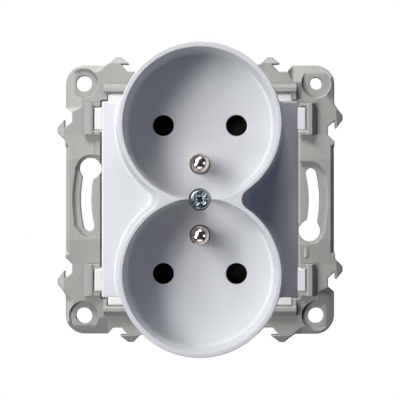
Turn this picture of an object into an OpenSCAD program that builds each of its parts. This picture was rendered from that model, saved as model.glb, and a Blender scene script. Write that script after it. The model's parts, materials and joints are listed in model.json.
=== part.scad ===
// Double socket mechanism for a round wall box: a one-piece cover with two round bowls and earth
// pins, clipped into a one-gang mounting frame, with its contacts in a moulded base behind.
// Modelling axes: x right, y up, z out of the wall, with z = 0 on the wall. place() stands the
// result up, so that the socket faces -Y, up is +Z and the origin is the centre of the frame's back.

/* [Mounting frame] */
// Width and height across the straight edges
frame_w = 70.3; // [70:0.1:72]
// Width and height of the square opening
frame_open = 52.8; // [52.6:0.1:53]
// Height of the frame's flat face above the wall
frame_t = 5; // [4.9:0.1:5.2]
// Reach of the ganging hooks past the straight edge
hook_reach = 2.3; // [2:0.1:2.6]
// Distance between the box screw slots, across the frame
box_pitch = 60; // [60:0.1:60.4]
// Width of the curved slots
slot_w = 2.9; // [2.6:0.1:3.2]
// Diameter of the round end of each slot
key_d = 5.7; // [5.4:0.1:6]
// Distance between the corner holes, both ways
corner_pitch = 61; // [60.6:0.1:61.4]
// Diameter of three of the corner holes
corner_hole_d = 4.2; // [3.8:0.1:4.4]
// Diameter of the fourth, upper right corner hole
small_hole_d = 3.2; // [2.8:0.1:3.6]
// Diameter of the round seat around each corner hole
seat_d = 7.6; // [7:0.1:8]

/* [Cover] */
// Width and height of the square plate
plate_w = 51.5; // [51:0.1:51.8]
// Height of the plate's face above the wall
plate_z = 5.8; // [5.6:0.1:6]
// Distance of each bowl's centre from the middle
bowl_y = 19.2; // [19:0.1:19.4]
// Inner radius of the bowls
bowl_r = 19.6; // [19.5:0.1:19.8]
// Outer radius of the bowls at the rim
rim_r = 20.4; // [20.3:0.1:20.6]
// Height of the rim above the wall
rim_z = 25.5; // [25:0.1:26]
// Depth of the bowls
bowl_depth = 15; // [14.8:0.1:15.2]

/* [Plug interface] */
// Distance between the two pin holes
pin_pitch = 19; // [18.9:0.1:19.1]
// Diameter of the pin holes
pin_hole_d = 5.5; // [5.3:0.1:5.7]
// Distance from the line of the pin holes to the earth pin
earth_offset = 10; // [9.9:0.1:10.1]
// Diameter of the earth pins
earth_d = 4.8; // [4.7:0.05:4.85]
// Length of the earth pins above the bowl's floor
earth_len = 14; // [13.8:0.1:14.2]

/* [Base] */
// Width and height of the base
base_w = 49.6; // [49.2:0.1:49.8]
// Diameter that the base's corners keep to
base_round_d = 57.6; // [57.2:0.1:58]
// Depth of the base behind the wall's surface
base_depth = 20; // [20:0.1:21]

/* [Moving parts] */
// Height of the axis of the terminal screws, behind the wall's surface
terminal_z = -11; // [-11.2:0.1:-10.8]
// Diameter of the terminal screws
terminal_d = 3.4; // [3.3:0.05:3.45]
// Play between a turning screw and its hole, on the radius
screw_play = 0.06; // [0.03:0.01:0.09]

/* [Hidden] */
$fn = 64;
eps = 0.01;

frame_grey = [0.67, 0.68, 0.65];
cover_white = [0.93, 0.94, 0.95];
base_grey = [0.82, 0.82, 0.80];
shutter_black = [0.06, 0.06, 0.07];
brass = [0.80, 0.66, 0.36];
nickel = [0.76, 0.75, 0.72];
zinc = [0.70, 0.72, 0.75];
steel = [0.62, 0.63, 0.65];

// Mounting frame
edge = frame_w / 2;
inner = frame_open / 2;
pad_edge = edge + 0.15;     // the corner pads stand a little past the straight edges
notch_edge = edge - 1.55;   // bottom of the notches beside the hooks
hook_edge = edge + hook_reach;
corner_r = 5;
pad_slope_from = 30.9;      // where the corner pads begin to slope down
pad_slope = 25;
side_slope_from = 33.4;     // the same on the narrow side of each pad
pad_slope_x = 20.3;         // how far along the side the wide slope begins
side_slope_x = 25.4;        // the same for the narrow one
hook_slope = 30;
edge_slope = 40;
edge_chamfer = 1;
chamfer_run = 0.3;          // how far the chamfer runs into the pads
edge_flat = 14;             // half length of the straight edge between the hooks
seat_z = 3.2;               // floor of the seats round the corner holes
recess_z = 4;               // floor of the recesses round the slots
recess_r = 33.4;            // outer radius of the recesses
ledge_in = 25.1;            // ledge at the back of the opening, behind the plate's edge
ledge_t = 1.2;
key_angle = 15.8;           // of the slot's round end, from the side's middle
slot_angle = 13.2;          // of the slot's narrow end
key_rim = 0.55;             // width of the recess floor round the slot's round end
end_rim = 1.55;             // the same round its narrow end

// Clip loops on the frame and the cover's tabs under them
clip_at = 21.1;             // middle of each loop, from the side's middle
clip_len = 8.4;
clip_leg = 1;               // width of a loop's legs
clip_in = 27.9;             // the bar's inner and outer faces
clip_out = 30.4;
clip_under = 4.6;           // the bar's underside
clip_top = 6.3;
window_out = 29.9;          // outer end of the window under the bar
tab_play = 0.25;
tab_out = 29.6;
tab_z = 3;
tab_top = 4.4;
pocket_x = 12.9;            // pocket in the frame's back beside each window
pocket_out = 32.2;
pocket_top = 2.6;

// Cover
plate = plate_w / 2;
plate_back = 3.6;
floor_z = rim_z - bowl_depth;
floor_back = floor_z - 2;
draft = tan(4);             // slope of the outer wall
skirt_z = 6.8;              // lower edge of the bowls where they overhang the frame
skirt_in = 20;              // inner radius of the wall there
cavity_r = 19.2;            // hollow behind the floor
cavity_waist = 8.5;
cavity_y = 24.4;
outer_cavity_y = 26.6;      // where the open pocket beyond the plate begins
waist_r = 2.8;              // radius of the concave blend between the bowls
hole_chamfer = 0.35;
pin_x = pin_pitch / 2;
earth_y = bowl_y - earth_offset;
earth_play = 0.15;
head_seat_z = floor_z - 1.2;
head_r = 2.8;
head_play = 0.3;
boss_r = 3.6;

// Layers behind the floor
inner_top = 5.2;            // face of the contact cover
shutter_z = 5.4;
shutter_top = floor_back - 0.2;
contact_cover_play = 0.3;

// Base
base = base_w / 2;
base_back = -base_depth;
wall = 1.4;
well_floor = -12.6;         // floor of the contact wells
terminal_floor = -16.4;     // floor of the terminal chambers
wire_r = 1.9;
access_r = 3.4;             // screwdriver holes
rib = 5.9;                  // half width of the rib between the two sides
earth_rib = 4.6;            // half width of the chamber in that rib
pocket_low = [16.4, 7.2];   // corner pockets beside the terminal chambers
pocket_high = 18;

// Contacts
tulip_in = 2.45;
tulip_out = 2.95;
tulip_top = 3.2;
tulip_bottom = -11.5;
tulip_slit = 0.8;
slit_bottom = -7;
lug_w = 4.4;
lug_top = -7.8;
bar_t = 1.2;
bar_x = pin_x + tulip_out;  // inner face of a busbar
bar_len = 44.4;
bar_bottom = -12.2;
bar_top = -8.2;
rivet_r = 1;
rivet_head_r = 1.7;
rivet_head_t = 0.65;
rivet_z = -10.2;

// Terminals, each laid out along +x from its threaded plate
gap = 3;                    // between the threaded plate and the open clamp plate
clamp_t = 1.2;
clamp_w = 10;
earth_clamp_w = 8;
plate_low = -15;
plate_high = -7.2;
terminal_r = terminal_d / 2;
terminal_head_r = 3;
terminal_head_t = 2.6;
head_gap = 0.05;
tail = 2.2;                 // length of screw past the threaded plate
clamp_travel = 2.4;         // of the clamp plate, from open to closed
wire_y = 4;                 // wires on both sides of the screw
earth_wire_x = 2.7;

// Earth
strap_t = 1.2;
strap_half = 3.2;
strap_low = -12.4;
earth_plate_y = 12.6;       // inner face of the earth's threaded plate
earth_root_r = 2.9;         // shoulder of the pins below the bowls' floors
earth_neck_r = 2.2;         // of the pins where they pass through the floors
earth_root_play = 0.3;      // from their shoulders to the floors
earth_rivet_r = 1.5;
earth_rivet_head_r = 2.2;
earth_rivet_head_t = 0.7;

// Centre screw
centre_r = 1.5;
nut_half = 2.6;
nut_bottom = -5;
centre_end = -6;
drive_w = 0.7;
drive_len = 3.2;
drive_depth = 0.7;

// Shutters
blade_in = 6.3;
blade_out = 12.7;
blade_low = 16.2;
blade_high = 22.2;
blade_nose = 17.4;          // where the ramp begins
blade_edge_z = 6.2;         // height of the ramp's low end
crossbar_low = 18.4;
ear_out = 15.6;
ear_low = 20.4;
spring_x = 14.2;
spring_z = 7.2;
spring_r = 1.05;
spring_wire = 0.3;
spring_seat = 10.2;         // fixed end of the springs
rail_x = 12.85;
rail_w = 0.45;
rail_top = 5.95;

module place() rotate([90, 0, 0]) children();

module box(low, high) translate(low) cube(high - low);

// Repeats on all four sides, turned a quarter each time
module each_side() for (i = [0:3]) rotate([0, 0, 90 * i]) children();

// Both halves of a side
module each_half() for (s = [0, 1]) mirror([s, 0, 0]) children();

module up_and_down() for (s = [0, 1]) mirror([0, s, 0]) children();

// Outline of the frame's top side, from the left corner to the right one. The hooks on its left
// fit the notches on the right of the next frame.
module top_edge_outline() polygon([
    [0, 0], [-pad_edge + corner_r, pad_edge], [-24.4, pad_edge],
    [-22.4, hook_edge], [-20.9, hook_edge], [-19, hook_edge - 1.6], [-19, pad_edge + 0.15],
    [-20.8, pad_edge + 0.15], [-19, notch_edge], [-16.8, notch_edge],
    [-14.8, pad_edge + 0.2], [-edge_flat, pad_edge + 0.2], [-edge_flat, edge],
    [edge_flat, edge], [edge_flat, pad_edge + 0.2], [15.3, pad_edge + 0.2],
    [17.3, hook_edge], [18.9, hook_edge], [20.6, hook_edge - 1.6], [20.6, pad_edge + 0.15],
    [18.8, pad_edge + 0.15], [20.6, notch_edge], [22.8, notch_edge],
    [24.3, pad_edge], [pad_edge - corner_r, pad_edge]]);

module frame_outline() {
    each_side() {
        top_edge_outline();
        translate([pad_edge - corner_r, pad_edge - corner_r]) circle(corner_r);
    }
}

// Centre line points of the curved slot in the top side
function on_slot(angle) = (box_pitch / 2) * [sin(angle), cos(angle)];

module ring_sector(r_in, r_out, from, to) intersection() {
    difference() {
        circle(r_out, $fn = 128);
        circle(r_in, $fn = 128);
    }
    polygon([[0, 0], 2 * r_out * [sin(from), cos(from)], 2 * r_out * [sin(to), cos(to)]]);
}

module slot_outline() {
    ring_sector((box_pitch - slot_w) / 2, (box_pitch + slot_w) / 2, -slot_angle, key_angle);
    translate(on_slot(-slot_angle)) circle(slot_w / 2);
    translate(on_slot(key_angle)) circle(key_d / 2);
}

module recess_outline() {
    key = on_slot(key_angle);
    end = on_slot(-slot_angle);
    key_r = key_d / 2 + key_rim;
    end_r = slot_w / 2 + end_rim;
    intersection() {
        circle(recess_r, $fn = 128);
        translate([end[0], inner - 1]) square([key[0] - end[0], recess_r]);
    }
    translate(key) circle(key_r);
    translate([key[0], inner - 1]) square([key_r, key[1] - inner + 1]);
    translate(end) circle(end_r);
    translate([end[0] - end_r, inner - 1]) square([end_r, end[1] - inner + 1]);
}

// Wedge that takes the top off everything past y = from, falling at the given angle
module slope_cut(x_low, x_high, from, angle, z = frame_t)
    translate([x_low, from, z]) rotate([-angle, 0, 0]) cube([x_high - x_low, 9, 6]);

module clip_loop() {
    translate([clip_at - clip_len / 2, 0, 0]) rotate([90, 0, 90]) linear_extrude(clip_len)
        polygon([[clip_in, clip_under], [clip_out, clip_under], [clip_out, frame_t],
                 [clip_out - 1.1, clip_top], [clip_in + 0.4, clip_top],
                 [clip_in, clip_top - 0.9]]);
    for (x = [clip_at - clip_len / 2, clip_at + clip_len / 2 - clip_leg])
        box([x, inner, clip_under], [x + clip_leg, clip_in + eps, frame_t + 0.6]);
}

module mounting_frame() color(frame_grey) place() {
    leg_in = clip_len / 2 - clip_leg;
    difference() {
        linear_extrude(frame_t) frame_outline();
        box([-inner, -inner, ledge_t], [inner, inner, frame_t + 2]);
        box([-ledge_in, -ledge_in, -1], [ledge_in, ledge_in, ledge_t + 1]);
        each_side() {
            translate([0, 0, -1]) linear_extrude(frame_t + 2) slot_outline();
            translate([0, 0, recess_z]) linear_extrude(frame_t) recess_outline();
            translate([-corner_pitch / 2, corner_pitch / 2, seat_z]) cylinder(d = seat_d, h = 9);
            // Slopes of the corner pad, the hooks and the straight edge
            slope_cut(pad_slope_x, 40, pad_slope_from, pad_slope);
            slope_cut(-40, -side_slope_x, side_slope_from, pad_slope);
            slope_cut(-side_slope_x, side_slope_x, pad_edge, hook_slope);
            slope_cut(-edge_flat - chamfer_run, edge_flat + chamfer_run, edge - edge_chamfer,
                      edge_slope);
            each_half() {
                // Window for the cover's tab, and a pocket in the back beside it
                box([clip_at - leg_in, ledge_in - 1, -1],
                    [clip_at + leg_in, clip_in, frame_t + 1]);
                box([clip_at - leg_in, ledge_in - 1, -1],
                    [clip_at + leg_in, window_out, clip_under]);
                box([pocket_x, inner + 1.2, -1], [clip_at - leg_in - 0.9, pocket_out, pocket_top]);
            }
        }
        for (x = [-1, 1], y = [-1, 1])
            translate([x, y, 0] * corner_pitch / 2 - [0, 0, 1])
                cylinder(d = x > 0 && y > 0 ? small_hole_d : corner_hole_d, h = 9);
    }
    each_side() each_half() clip_loop();
}

// Outer body of one bowl between two heights, drafted
function bowl_radius(z) = rim_r + (rim_z - z) * draft;

module bowl_body(low, high) translate([0, bowl_y, low])
    cylinder(r1 = bowl_radius(low), r2 = bowl_radius(high), h = high - low, $fn = 128);

// Fills the waist between the bowls, with a concave blend on each side
module waist_web() {
    reach = rim_r + waist_r;
    blend_x = sqrt(reach * reach - bowl_y * bowl_y);
    touch = rim_r / reach;
    web_x = blend_x * touch;
    web_y = bowl_y * (1 - touch);
    difference() {
        square([2 * web_x, 2 * web_y], center = true);
        each_half() translate([blend_x, 0]) circle(waist_r);
    }
}

// The hollow behind the floor, smaller by play
module inner_outline(play = 0) intersection() {
    union() {
        up_and_down() translate([0, bowl_y]) circle(cavity_r - play, $fn = 128);
        square(2 * [cavity_waist - play, cavity_waist - play], center = true);
    }
    square(2 * [30, cavity_y - play], center = true);
}

module at_pins() for (s = [-1, 1]) translate([s * pin_x, bowl_y, 0]) children();

// Outline of the bowls' floors, which meet at the waist
module floor_outline() {
    up_and_down() translate([0, bowl_y]) circle(cavity_r, $fn = 128);
    square(2 * [cavity_waist, cavity_waist], center = true);
}

// Plate and walls of the cover, which is moulded in one with the floors of its bowls
module socket_cover() color(cover_white) place() difference() {
    union() {
        box([-plate, -plate, plate_back], [plate, plate, plate_z]);
        intersection() {
            up_and_down() bowl_body(plate_back, skirt_z);
            box([-plate, -plate, plate_back], [plate, plate, skirt_z]);
        }
        up_and_down() bowl_body(skirt_z, rim_z);
        translate([0, 0, plate_back]) linear_extrude(rim_z - plate_back) waist_web();
        each_side() each_half()
            box([clip_at - clip_len / 2 + clip_leg + tab_play, plate - 1, tab_z],
                [clip_at + clip_len / 2 - clip_leg - tab_play, tab_out, tab_top]);
    }
    translate([0, 0, tab_z - 1]) linear_extrude(floor_back - tab_z + 1) inner_outline();
    translate([0, 0, floor_back - eps]) linear_extrude(floor_z - floor_back + 2 * eps)
        floor_outline();
    up_and_down() {
        translate([0, bowl_y, floor_z]) cylinder(r = bowl_r, h = 20, $fn = 128);
        intersection() {
            translate([0, bowl_y, tab_z - 1])
                cylinder(r = skirt_in, h = floor_back - tab_z + 1, $fn = 128);
            box([-30, outer_cavity_y, tab_z - 1], [30, 60, floor_back]);
        }
    }
}

// Floors of both bowls, with the boss that the centre screw clamps
module bowl_floors() color(cover_white) place() difference() {
    union() {
        translate([0, 0, floor_back]) linear_extrude(floor_z - floor_back) floor_outline();
        translate([0, 0, inner_top + eps]) cylinder(r = boss_r, h = floor_back - inner_top);
    }
    up_and_down() {
        at_pins() {
            cylinder(d = pin_hole_d, h = floor_z + 1);
            translate([0, 0, floor_z - hole_chamfer])
                cylinder(d1 = pin_hole_d, d2 = pin_hole_d + 2 * hole_chamfer + 2 * eps,
                         h = hole_chamfer + eps);
        }
        translate([0, earth_y, 0]) cylinder(r = earth_d / 2 + earth_play, h = floor_z + 1);
    }
    cylinder(r = centre_r + 0.15, h = floor_z + 1);
    translate([0, 0, head_seat_z]) cylinder(r = head_r + head_play, h = 5);
}

module base_outline(inset = 0) intersection() {
    square(base_w - 2 * inset, center = true);
    circle(d = base_round_d - 2 * inset, $fn = 128);
}

// A chamber in the base, open to the front and kept inside the wall
module chamber(low, high) intersection() {
    box(low, high);
    translate([0, 0, base_back]) linear_extrude(40) base_outline(wall);
}

// Wire entries, screwdriver hole and room for the screw's tail of one terminal, laid out along +x
module terminal_openings(plate_x, half_gap) {
    tail_room = bar_t + tail + clamp_travel + 0.4;
    translate([plate_x - tail_room, 0, terminal_z]) rotate([0, 90, 0])
        cylinder(r = terminal_r + 0.3, h = tail_room);
    for (s = [-1, 1])
        translate([plate_x + gap / 2, s * half_gap, base_back - 1])
            cylinder(r = wire_r, h = terminal_floor - base_back + 2);
    translate([base - wall - 1, 0, terminal_z]) rotate([0, 90, 0])
        cylinder(r = access_r, h = wall + 3);
}

module contact_base() color(base_grey) place() difference() {
    translate([0, 0, base_back]) linear_extrude(plate_back - base_back) base_outline();
    each_half() {
        chamber([rib, -30, well_floor], [bar_x + bar_t + 1.1, 30, 9]);
        chamber([pin_x, -clamp_w / 2 - 0.6, terminal_floor], [30, clamp_w / 2 + 0.6, 9]);
        terminal_openings(bar_x + bar_t, wire_y);
        up_and_down() chamber([pocket_low[0], pocket_low[1], terminal_floor], [30, pocket_high, 9]);
    }
    // Channel for the earth strap, its rivets, the nut and the end of the screw
    box([-strap_half - 0.2, strap_low - 0.2, -strap_t], [strap_half + 0.2, earth_plate_y, 9]);
    up_and_down() translate([0, earth_y, -strap_t - earth_rivet_head_t - 0.2])
        cylinder(r = earth_root_r + 0.2, h = 9);
    box([-nut_half - 0.05, -nut_half - 0.05, nut_bottom], [nut_half + 0.05, nut_half + 0.05, 0]);
    translate([0, 0, centre_end - 1.5]) cylinder(r = centre_r + 0.5, h = 9);
    chamber([-earth_rib, earth_plate_y - 1.6, terminal_floor], [earth_rib, 30, 9]);
    rotate([0, 0, 90]) terminal_openings(earth_plate_y + bar_t, earth_wire_x);
    chamber([-earth_rib, -30, terminal_floor], [earth_rib, -15, 9]);
}

// Inner plate that closes the contact wells and carries the shutters
module contact_cover() color(base_grey) place() {
    difference() {
        translate([0, 0, plate_back]) linear_extrude(inner_top - plate_back)
            inner_outline(contact_cover_play);
        up_and_down() {
            at_pins() cylinder(d = pin_hole_d + 0.4, h = 9);
            translate([0, earth_y, 0]) cylinder(r = earth_root_r + 0.2, h = 9);
        }
        cylinder(r = centre_r + 0.3, h = 9);
    }
    up_and_down() each_half() {
        box([spring_x - 1.4, spring_seat - 1.2, inner_top], [spring_x + 1.3, spring_seat, shutter_top]);
        box([rail_x, spring_seat, inner_top], [rail_x + rail_w, 23, rail_top]);
    }
}

// Sprung slider behind one bowl's pin holes. The ramps turn the push of both pins into travel.
module shutter() color(shutter_black) {
    each_half() {
        translate([blade_in, 0, 0]) rotate([90, 0, 90]) linear_extrude(blade_out - blade_in)
            polygon([[blade_low, shutter_z], [blade_high, shutter_z], [blade_high, blade_edge_z],
                     [blade_nose, shutter_top], [blade_low, shutter_top]]);
        box([blade_out - 1, ear_low, blade_edge_z], [ear_out, blade_high, shutter_top]);
    }
    box([-blade_in - eps, crossbar_low, shutter_z], [blade_in + eps, blade_high, shutter_top - 0.6]);
}

module upper_shutter() place() shutter();
module lower_shutter() place() mirror([0, 1, 0]) shutter();

// Space taken by the two coil springs of one shutter
module shutter_springs() color(steel) each_half()
    translate([spring_x, spring_seat, spring_z]) rotate([-90, 0, 0]) difference() {
        cylinder(r = spring_r, h = ear_low - spring_seat);
        translate([0, 0, -1]) cylinder(r = spring_r - spring_wire, h = 20);
    }

module upper_shutter_springs() place() shutter_springs();
module lower_shutter_springs() place() mirror([0, 1, 0]) shutter_springs();

// Spring sleeve that grips one plug pin, with a flat lug riveted to its busbar
module pin_contact() color(brass) difference() {
    union() {
        translate([pin_x, bowl_y, tulip_bottom])
            cylinder(r = tulip_out, h = tulip_top - tulip_bottom);
        box([pin_x, bowl_y - lug_w / 2, tulip_bottom], [bar_x, bowl_y + lug_w / 2, lug_top]);
    }
    translate([pin_x, bowl_y, tulip_bottom - 1]) cylinder(r = tulip_in, h = 30);
    box([pin_x - tulip_slit / 2, bowl_y - 5, slit_bottom], [pin_x + tulip_slit / 2, bowl_y + 5, 9]);
    translate([pin_x, bowl_y, rivet_z]) rotate([0, 90, 0]) cylinder(r = rivet_r, h = 5);
}

module side_rivets() color(nickel) up_and_down()
    translate([bar_x, bowl_y, rivet_z]) rotate([0, 90, 0]) {
        translate([0, 0, -0.4]) cylinder(r = rivet_r, h = bar_t + 0.4 + eps);
        translate([0, 0, bar_t]) cylinder(r = rivet_head_r, h = rivet_head_t);
    }

// Strip that joins the two contacts of one side, with the threaded plate of its terminal
module busbar() color(brass) difference() {
    union() {
        box([bar_x, -bar_len / 2, bar_bottom], [bar_x + bar_t, bar_len / 2, bar_top]);
        box([bar_x, -clamp_w / 2, plate_low], [bar_x + bar_t, clamp_w / 2, plate_high]);
    }
    up_and_down() translate([bar_x - 1, bowl_y, rivet_z]) rotate([0, 90, 0])
        cylinder(r = rivet_r, h = 5);
    translate([bar_x - 1, 0, terminal_z]) rotate([0, 90, 0])
        cylinder(r = terminal_r + screw_play, h = 5);
}

// Clamp plate of one terminal, open, facing a threaded plate whose outer face is at x = plate_x
module clamp_plate(plate_x, width) color(nickel) difference() {
    box([plate_x + gap, -width / 2, plate_low], [plate_x + gap + clamp_t, width / 2, plate_high]);
    translate([plate_x + gap - 1, 0, terminal_z]) rotate([0, 90, 0])
        cylinder(r = terminal_r + screw_play, h = 9);
}

// Terminal screw in its open place, with a slotted head outside the clamp plate
module terminal_screw(plate_x) color(zinc) {
    head_x = plate_x + gap + clamp_t + head_gap;
    difference() {
        translate([head_x, 0, terminal_z]) rotate([0, 90, 0])
            cylinder(r = terminal_head_r, h = terminal_head_t);
        box([head_x + terminal_head_t - 1, -drive_w / 2, terminal_z - 9],
            [head_x + 9, drive_w / 2, terminal_z + 9]);
    }
    translate([plate_x - bar_t - tail, 0, terminal_z]) rotate([0, 90, 0])
        cylinder(r = terminal_r, h = head_x - plate_x + bar_t + tail + eps);
}

module neutral_side() place() children();
module live_side() place() mirror([1, 0, 0]) children();
module earth_side() place() rotate([0, 0, 90]) children();

module live_busbar() live_side() busbar();
module live_upper_contact() live_side() pin_contact();
module live_lower_contact() live_side() mirror([0, 1, 0]) pin_contact();
module live_rivets() live_side() side_rivets();
module live_clamp_plate() live_side() clamp_plate(bar_x + bar_t, clamp_w);
module live_terminal_screw() live_side() terminal_screw(bar_x + bar_t);

module neutral_busbar() neutral_side() busbar();
module neutral_upper_contact() neutral_side() pin_contact();
module neutral_lower_contact() neutral_side() mirror([0, 1, 0]) pin_contact();
module neutral_rivets() neutral_side() side_rivets();
module neutral_clamp_plate() neutral_side() clamp_plate(bar_x + bar_t, clamp_w);
module neutral_terminal_screw() neutral_side() terminal_screw(bar_x + bar_t);

// Strip that carries both earth pins, bent down into the threaded plate of the earth terminal
module earth_strap() color(brass) place() difference() {
    union() {
        box([-strap_half, strap_low, -strap_t], [strap_half, earth_plate_y + bar_t, 0]);
        box([-earth_clamp_w / 2, earth_plate_y, plate_low],
            [earth_clamp_w / 2, earth_plate_y + bar_t, 0]);
    }
    up_and_down() translate([0, earth_y, -5]) cylinder(r = earth_rivet_r, h = 9);
    translate([0, 0, -5]) cylinder(r = centre_r + screw_play, h = 9);
    translate([0, earth_plate_y - 1, terminal_z]) rotate([-90, 0, 0])
        cylinder(r = terminal_r + screw_play, h = 5);
}

// Domed earth pin, riveted to the strap below its shoulder
module earth_pin() color(nickel) translate([0, earth_y, 0]) {
    dome_z = floor_z + earth_len - earth_d / 2;
    cylinder(r = earth_root_r, h = floor_back - earth_root_play);
    cylinder(r = earth_neck_r, h = floor_z + eps);
    translate([0, 0, floor_z]) cylinder(d = earth_d, h = dome_z - floor_z);
    translate([0, 0, dome_z]) sphere(d = earth_d);
    translate([0, 0, -strap_t - eps]) cylinder(r = earth_rivet_r, h = strap_t + 2 * eps);
    translate([0, 0, -strap_t - earth_rivet_head_t])
        cylinder(r = earth_rivet_head_r, h = earth_rivet_head_t);
}

module upper_earth_pin() place() earth_pin();
module lower_earth_pin() place() mirror([0, 1, 0]) earth_pin();
module earth_clamp_plate() earth_side() clamp_plate(earth_plate_y + bar_t, earth_clamp_w);
module earth_terminal_screw() earth_side() terminal_screw(earth_plate_y + bar_t);

module centre_nut() color(brass) place() difference() {
    box([-nut_half, -nut_half, nut_bottom], [nut_half, nut_half, -strap_t]);
    translate([0, 0, nut_bottom - 1]) cylinder(r = centre_r + screw_play, h = 9);
}

module centre_screw() color(zinc) place() {
    head_z = head_seat_z + head_gap;
    difference() {
        translate([0, 0, head_z]) cylinder(r = head_r, h = floor_z - head_z);
        for (turn = [0, 90]) rotate([0, 0, turn])
            box([-drive_len / 2, -drive_w / 2, floor_z - drive_depth],
                [drive_len / 2, drive_w / 2, floor_z + 1]);
    }
    translate([0, 0, centre_end]) cylinder(r = centre_r, h = head_z - centre_end + eps);
}

mounting_frame();
socket_cover();
bowl_floors();
contact_base();
contact_cover();
upper_shutter();
lower_shutter();
upper_shutter_springs();
lower_shutter_springs();
live_busbar();
live_upper_contact();
live_lower_contact();
live_rivets();
live_clamp_plate();
live_terminal_screw();
neutral_busbar();
neutral_upper_contact();
neutral_lower_contact();
neutral_rivets();
neutral_clamp_plate();
neutral_terminal_screw();
earth_strap();
upper_earth_pin();
lower_earth_pin();
earth_clamp_plate();
earth_terminal_screw();
centre_nut();
centre_screw();
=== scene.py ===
"""Looks for the double earth-pin socket mechanism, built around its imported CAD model.

Moulded and machined pieces are made from distance fields: a function gives each point's distance
to the piece's surface, with its fillets, and field_mesh() turns that into a mesh. Fields work in
the maker's axes, in millimetres: x right, y up, z out of the wall with z = 0 on the wall.
"""
import json
import math

import bmesh
import bpy
import numpy as np
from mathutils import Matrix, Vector


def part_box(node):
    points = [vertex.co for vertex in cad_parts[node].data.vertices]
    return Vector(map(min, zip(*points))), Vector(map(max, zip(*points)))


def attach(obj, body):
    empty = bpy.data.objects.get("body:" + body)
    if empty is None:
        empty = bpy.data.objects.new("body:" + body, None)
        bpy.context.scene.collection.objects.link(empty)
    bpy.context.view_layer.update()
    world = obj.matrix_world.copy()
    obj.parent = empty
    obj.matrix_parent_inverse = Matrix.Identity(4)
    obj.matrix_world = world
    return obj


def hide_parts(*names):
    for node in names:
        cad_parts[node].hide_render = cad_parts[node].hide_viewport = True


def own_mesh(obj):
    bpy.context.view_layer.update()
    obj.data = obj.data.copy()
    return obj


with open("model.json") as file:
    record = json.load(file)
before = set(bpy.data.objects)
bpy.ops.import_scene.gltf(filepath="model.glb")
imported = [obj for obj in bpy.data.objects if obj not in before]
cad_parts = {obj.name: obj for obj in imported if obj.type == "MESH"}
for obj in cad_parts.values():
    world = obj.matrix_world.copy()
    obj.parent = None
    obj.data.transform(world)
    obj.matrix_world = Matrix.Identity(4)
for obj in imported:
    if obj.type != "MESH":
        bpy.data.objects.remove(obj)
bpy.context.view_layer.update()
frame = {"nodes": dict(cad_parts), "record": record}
record = frame["record"]
MM = 0.001


# ---------------------------------------------------------------- sizes, some read from the CAD model

def local_box(node):
    """Corners of a CAD node in the maker's axes, in millimetres."""
    lo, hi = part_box(node)
    return (np.array([lo.x, lo.z, -hi.y]) / MM, np.array([hi.x, hi.z, -lo.y]) / MM)


def mount(name):
    """Place of a mount in the maker's axes, and its radius."""
    m = next(m for m in record["mounts"] if m["name"] == name)
    x, y, z = m["pos_m"]
    return np.array([x, z, -y]) / MM, m["dims"].get("r_mm")


PIN_AT, PIN_HOLE_R = mount("upper_neutral_pin_hole")
PIN_X, BOWL_Y = PIN_AT[0], PIN_AT[1]
EARTH_AT, EARTH_R = mount("upper_earth_pin")
EARTH_Y = EARTH_AT[1]
SEAT_AT, CORNER_HOLE_R = mount("upper_left_hole")
CORNER = SEAT_AT[1]
SMALL_HOLE_R = mount("upper_right_hole")[1]
WIRE_AT, WIRE_R = mount("neutral_upper_wire_entry")
EARTH_WIRE_AT = mount("earth_right_wire_entry")[0]

cover_lo, cover_hi = local_box("socket_cover")
frame_hi = local_box("mounting_frame")[1]
base_lo, base_hi = local_box("contact_base")
RIM_Z = cover_hi[2]
HOOK_EDGE = frame_hi[0]
BASE_HALF, BASE_BACK, BASE_TOP = base_hi[0], base_lo[2], base_hi[2]
PIN_TIP_Z = local_box("upper_earth_pin")[1][2]
SCREW_END_Z = local_box("centre_screw")[0][2]

# Cover: plate, rims, bowls and floors, then the hollow behind them and the tabs
PLATE = 25.75
PLATE_Z = 5.8
PLATE_BACK = 3.6
RIM_R = 20.65
BOWL_R = 19.45
BOWL_IN_Y = 19.05
FLOOR_Z = RIM_Z - 15
FLOOR_BACK = FLOOR_Z - 2
SKIRT_Z = 6.8
DRAFT = math.tan(math.radians(3.4))
BOWL_DRAFT = 0.026
WAIST_R = 2.8
RIM_HOLLOW_R, RIM_HOLLOW_FROM = 20.0, 26.6
CAVITY_R, CAVITY_WAIST, CAVITY_END = 19.2, 8.5, 24.4
BOSS_R, BOSS_Z = 3.6, 5.21
SCREW_HOLE_R, SCREW_SEAT_R, SCREW_SEAT_Z = 1.65, 2.88, 9.3
EARTH_PLAY = 0.27
TAB_Z, TAB_TOP = 3.0, 4.4
TAB_STEP = 27.65
TAB_OUT = 29.6
TAB_PLAY = 1.25

# Mounting frame: a name ending in _Z or _TOP is a height, and one in _R a radius
FRAME_T = 5.0
MIDDLE_RISE, MIDDLE_FLAT, MIDDLE_END = 0.75, 10.6, 17.0
OPEN = 26.15
EDGE = 35.15
PAD_EDGE = 35.3
NOTCH = 33.6
CLIP_AT = 21.1
CLIP_LEN = 8.4
CLIP_IN, CLIP_OUT = 27.9, 30.4
CLIP_UNDER, CLIP_TOP = 4.6, 6.3
CLIP_LEG = 0.5
SLOT_R = 30.0
SLOT_HALF = 1.45
KEY_ANGLE, SLOT_ANGLE = math.radians(15.8), math.radians(13.2)
KEY_R = 2.85
RECESS_Z = 4.0
RECESS_R = 33.4
SEAT_R = 3.8
SEAT_Z = 3.2
CORNER_R = 5.0
PAD_SLOPE = math.tan(math.radians(25.5))
EDGE_SLOPE, EDGE_BAND = math.tan(math.radians(42)), 34.2
SLOPE_NEAR, SLOPE_MID, SLOPE_FAR = 30.9, 33.3, 35.8
PAD_FROM, PAD_FULL = 21.6, 24.6
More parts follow.
